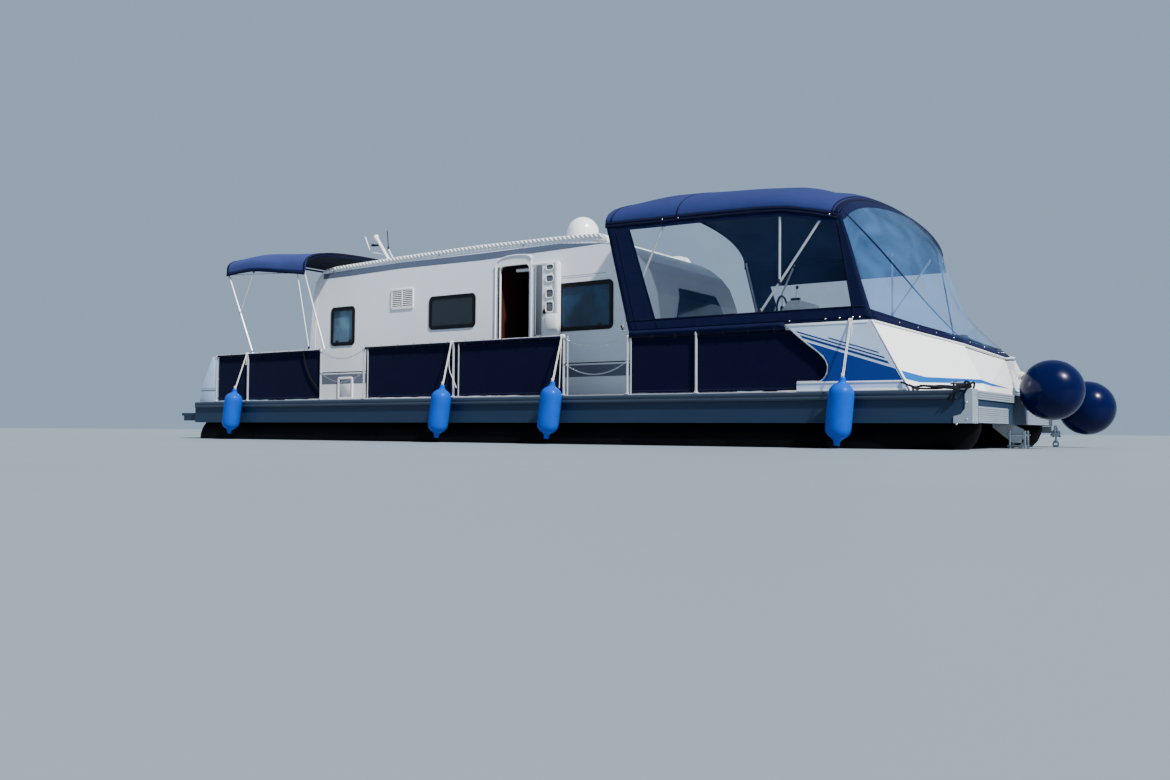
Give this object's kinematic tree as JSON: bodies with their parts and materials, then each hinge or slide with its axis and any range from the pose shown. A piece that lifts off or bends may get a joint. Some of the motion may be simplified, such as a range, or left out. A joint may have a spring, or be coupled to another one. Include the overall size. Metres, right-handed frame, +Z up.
{
  "type": "houseboat",
  "caption": "Twin-float houseboat with a caravan body as its cabin, a clear-sided canopy over the bow cockpit, cloth-screened side railings, a stern sun top and an outboard motor.",
  "frame": {"origin": "centre of the whole boat in plan, on the plane that the bottoms of the two floats stand on", "axes": "+X to the bow, +Y to port, +Z up"},
  "size_m": [14.152, 4.625, 3.9295],
  "materials": {
    "float_plastic": "black moulded plastic floats",
    "slate_paint": "slate blue paint",
    "light_paint": "light grey paint",
    "deck_boards": "grey deck boards",
    "van_skin": "off-white painted sheet",
    "white_plastic": "white moulding",
    "black_plastic": "black grip plastic",
    "tinted_acrylic": "tinted acrylic pane",
    "aluminium": "anodised tube",
    "steel": "galvanised and stainless steel",
    "navy_cloth": "navy screen cloth",
    "canopy_cloth": "blue canvas",
    "clear_vinyl": "clear vinyl sheet with navy canvas edges",
    "gelcoat": "white gelcoat",
    "fender_blue": "bright blue inflated vinyl",
    "ball_navy": "dark blue inflated vinyl",
    "motor_grey": "dark grey paint",
    "wood": "light wood fittings"
  },
  "bodies": {
    "hull": {"float_starboard": "float_plastic", "float_port": "float_plastic", "deck_frame": "slate_paint", "deck": "deck_boards", "bow_corner_starboard": "light_paint", "bow_corner_port": "light_paint", "anchor_bracket": "steel", "van_floor": "wood", "van_wall_starboard": "van_skin", "van_wall_port": "van_skin", "van_wall_front": "van_skin", "van_wall_rear": "van_skin", "van_roof": "white_plastic", "window_starboard_aft": "tinted_acrylic", "window_starboard_mid": "tinted_acrylic", "window_starboard_fore": "tinted_acrylic", "window_port_aft": "tinted_acrylic", "window_port_fore": "tinted_acrylic", "window_front": "tinted_acrylic", "door_surround": "white_plastic", "fridge_vent": "white_plastic", "service_flap": "white_plastic", "satellite_dome": "white_plastic", "bulwark_starboard": "light_paint", "bulwark_port": "light_paint", "prow_fairing": "gelcoat", "canopy_roof": "canopy_cloth", "canopy_side_starboard": "clear_vinyl", "canopy_side_port": "clear_vinyl", "canopy_front": "clear_vinyl", "canopy_frame": "aluminium", "helm_console": "white_plastic", "railing_starboard": "aluminium", "railing_port": "aluminium", "railing_stern": "aluminium", "cloth_aft_starboard": "navy_cloth", "cloth_mid_starboard": "navy_cloth", "cloth_fore_starboard": "navy_cloth", "cloth_aft_port": "navy_cloth", "cloth_mid_port": "navy_cloth", "cloth_fore_port": "navy_cloth", "sun_top": "canopy_cloth", "sun_top_frame": "aluminium", "fender_starboard_1": "fender_blue", "fender_starboard_2": "fender_blue", "fender_starboard_3": "fender_blue", "fender_starboard_4": "fender_blue", "fender_port_1": "fender_blue", "fender_port_2": "fender_blue", "fender_port_3": "fender_blue", "fender_port_4": "fender_blue", "bow_ball_centre": "ball_navy", "bow_ball_port": "ball_navy", "outboard_bracket": "motor_grey"},
    "door": {"door": "white_plastic"},
    "helm_wheel": {"helm_wheel": "black_plastic"},
    "motor_swivel": {"outboard_swivel": "motor_grey"},
    "motor": {"outboard_motor": "motor_grey"},
    "propeller": {"propeller": "motor_grey"},
    "ladder": {"boarding_ladder": "steel"}
  },
  "joints": [
    {"name": "door_hinge", "type": "hinge", "parent": "hull", "child": "door", "pos_m": [0.039, -1.172, 1.6], "axis": [0, 0, -1], "range_deg": [0, 180]},
    {"name": "motor_tilt", "type": "hinge", "parent": "hull", "child": "motor_swivel", "pos_m": [-6.656, 0, 0.926], "axis": [0, 1, 0], "range_deg": [0, 50]},
    {"name": "motor_steer", "type": "hinge", "parent": "motor_swivel", "child": "motor", "pos_m": [-6.746, 0, 0.8], "axis": [0, 0, 1], "range_deg": [-35, 35]},
    {"name": "propeller_spin", "type": "hinge", "parent": "motor", "child": "propeller", "pos_m": [-6.896, 0, 0.184], "axis": [1, 0, 0], "continuous": true},
    {"name": "helm_wheel_turn", "type": "hinge", "parent": "hull", "child": "helm_wheel", "pos_m": [3.369, 0, 2.211], "axis": [1, 0, 0], "range_deg": [-540, 540]},
    {"name": "ladder_fold", "type": "hinge", "parent": "hull", "child": "ladder", "pos_m": [-6.998, 1.18, 0.816], "axis": [0, -1, 0], "range_deg": [0, 170]}
  ],
  "couplings": [
    {"joint": "helm_wheel_turn", "follows": "motor_steer", "ratio": 15.4}
  ]
}
